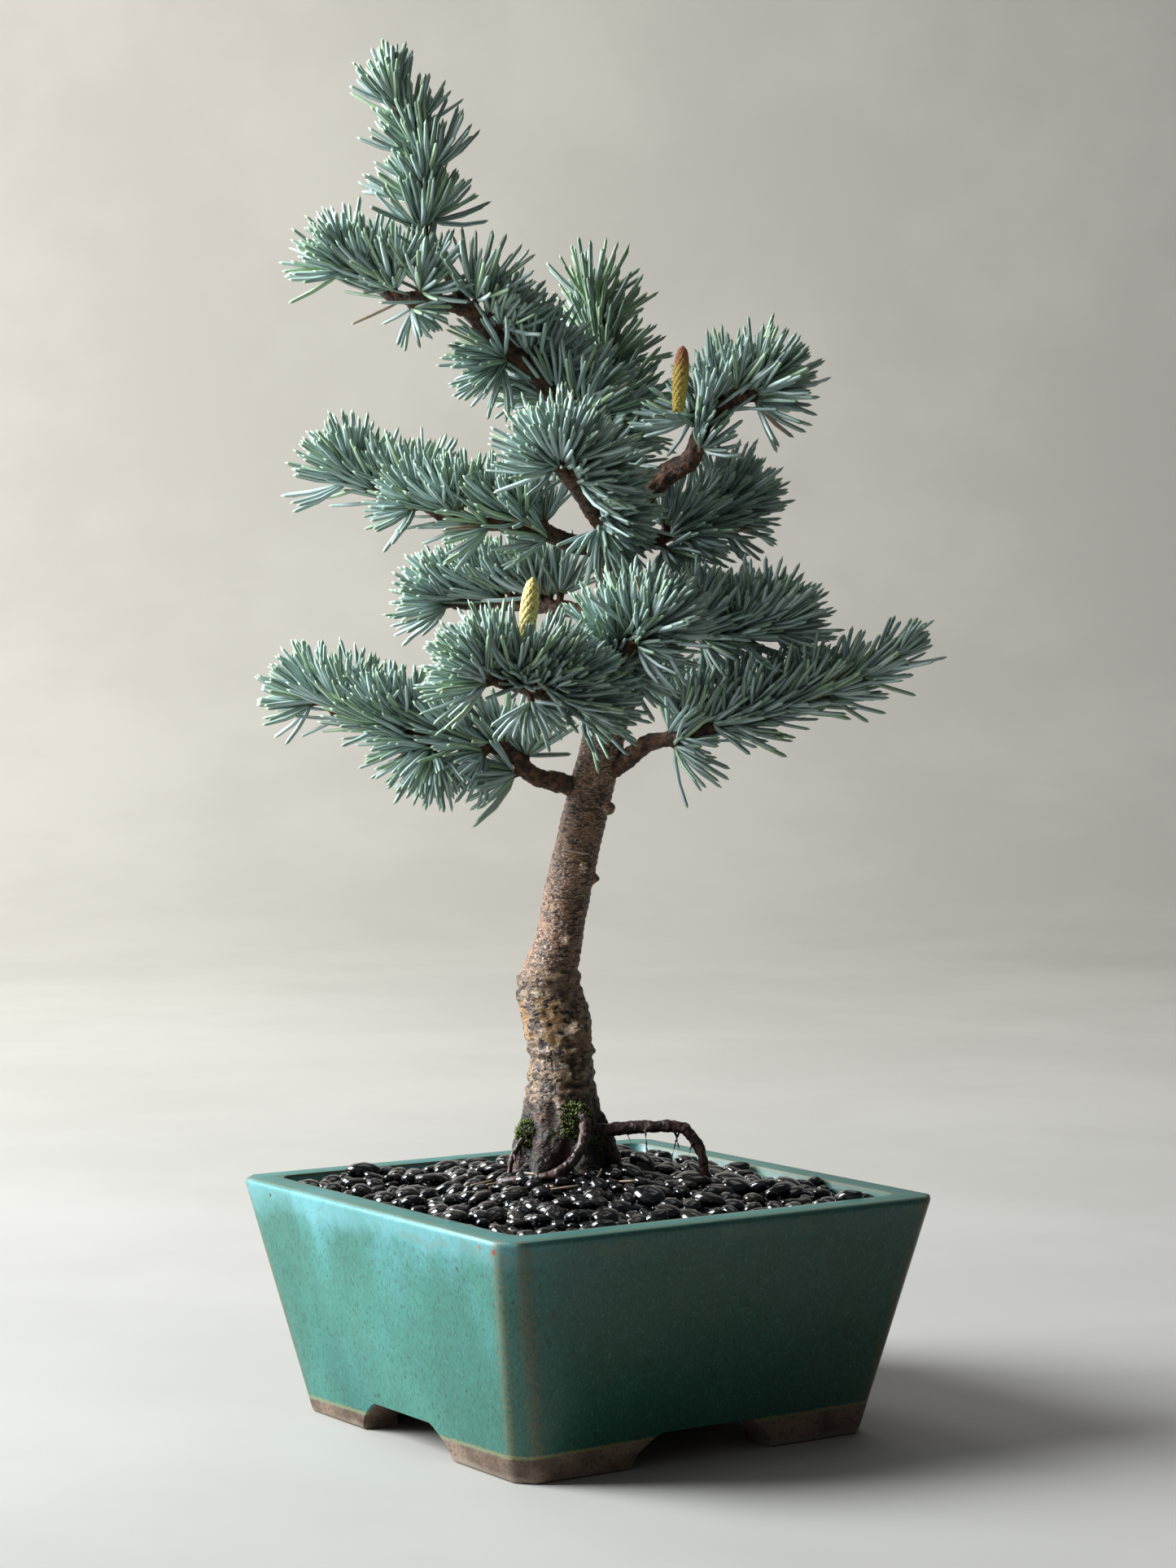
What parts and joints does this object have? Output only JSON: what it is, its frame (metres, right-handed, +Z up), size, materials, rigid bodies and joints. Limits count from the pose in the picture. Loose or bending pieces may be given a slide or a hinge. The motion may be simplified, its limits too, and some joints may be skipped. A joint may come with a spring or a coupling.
{
  "type": "potted bonsai cedar",
  "caption": "Small blue cedar trained as an informal upright bonsai, in a square tapered glazed pot on corner feet, top-dressed with dark pebbles; a decorative potted plant.",
  "frame": {"origin": "centre of the pot's footprint, on the plane its feet stand on", "axes": "+Z up; X and Y along the pot's sides; the tree's front looks over the pot's -X -Y corner"},
  "size_m": [0.1678, 0.1678, 0.4473],
  "materials": {
    "glaze": "mottled turquoise gloss glaze, bare brown clay on the feet",
    "screen": "moulded mesh",
    "soil": "granular bonsai soil",
    "pebbles": "polished, wet-looking, black to dark brown",
    "bark": "smooth brown bark with pale flecks, fine rings and a graft swelling",
    "root_bark": "smooth reddish root bark",
    "branch_bark": "scaly dark bark with orange-brown lights",
    "needles": "blue-green waxy needles, yellow-green at the shoot tips",
    "pollen_cone": "soft overlapping scales, yellow-olive to reddish brown",
    "moss": "small leafy cushions"
  },
  "bodies": {
    "root": {"pot": "glaze", "drainage_screen": "screen", "soil": "soil", "pebble_layer": "pebbles", "trunk": "bark", "root_right": "root_bark", "root_front": "root_bark", "root_left": "root_bark", "branch_low_left": "branch_bark", "branch_low_right": "branch_bark", "branch_front": "branch_bark", "branch_front_right": "branch_bark", "branch_middle_right": "branch_bark", "branch_back_left": "branch_bark", "branch_back_right": "branch_bark", "branch_upper_left": "branch_bark", "branch_upper_right": "branch_bark", "branch_upper_right_back": "branch_bark", "branch_upper_front": "branch_bark", "branch_upper_back": "branch_bark", "branch_leader_left": "branch_bark", "branch_leader_tip": "branch_bark", "needles_trunk": "needles", "needles_low_left": "needles", "needles_low_right": "needles", "needles_front": "needles", "needles_front_right": "needles", "needles_middle_right": "needles", "needles_back_left": "needles", "needles_back_right": "needles", "needles_upper_left": "needles", "needles_upper_right": "needles", "needles_upper_right_back": "needles", "needles_upper_front": "needles", "needles_upper_back": "needles", "needles_leader_left": "needles", "needles_leader_tip": "needles", "pollen_cone_right": "pollen_cone", "pollen_cone_front": "pollen_cone", "moss_front": "moss", "moss_left": "moss", "moss_right": "moss"}
  },
  "joints": []
}
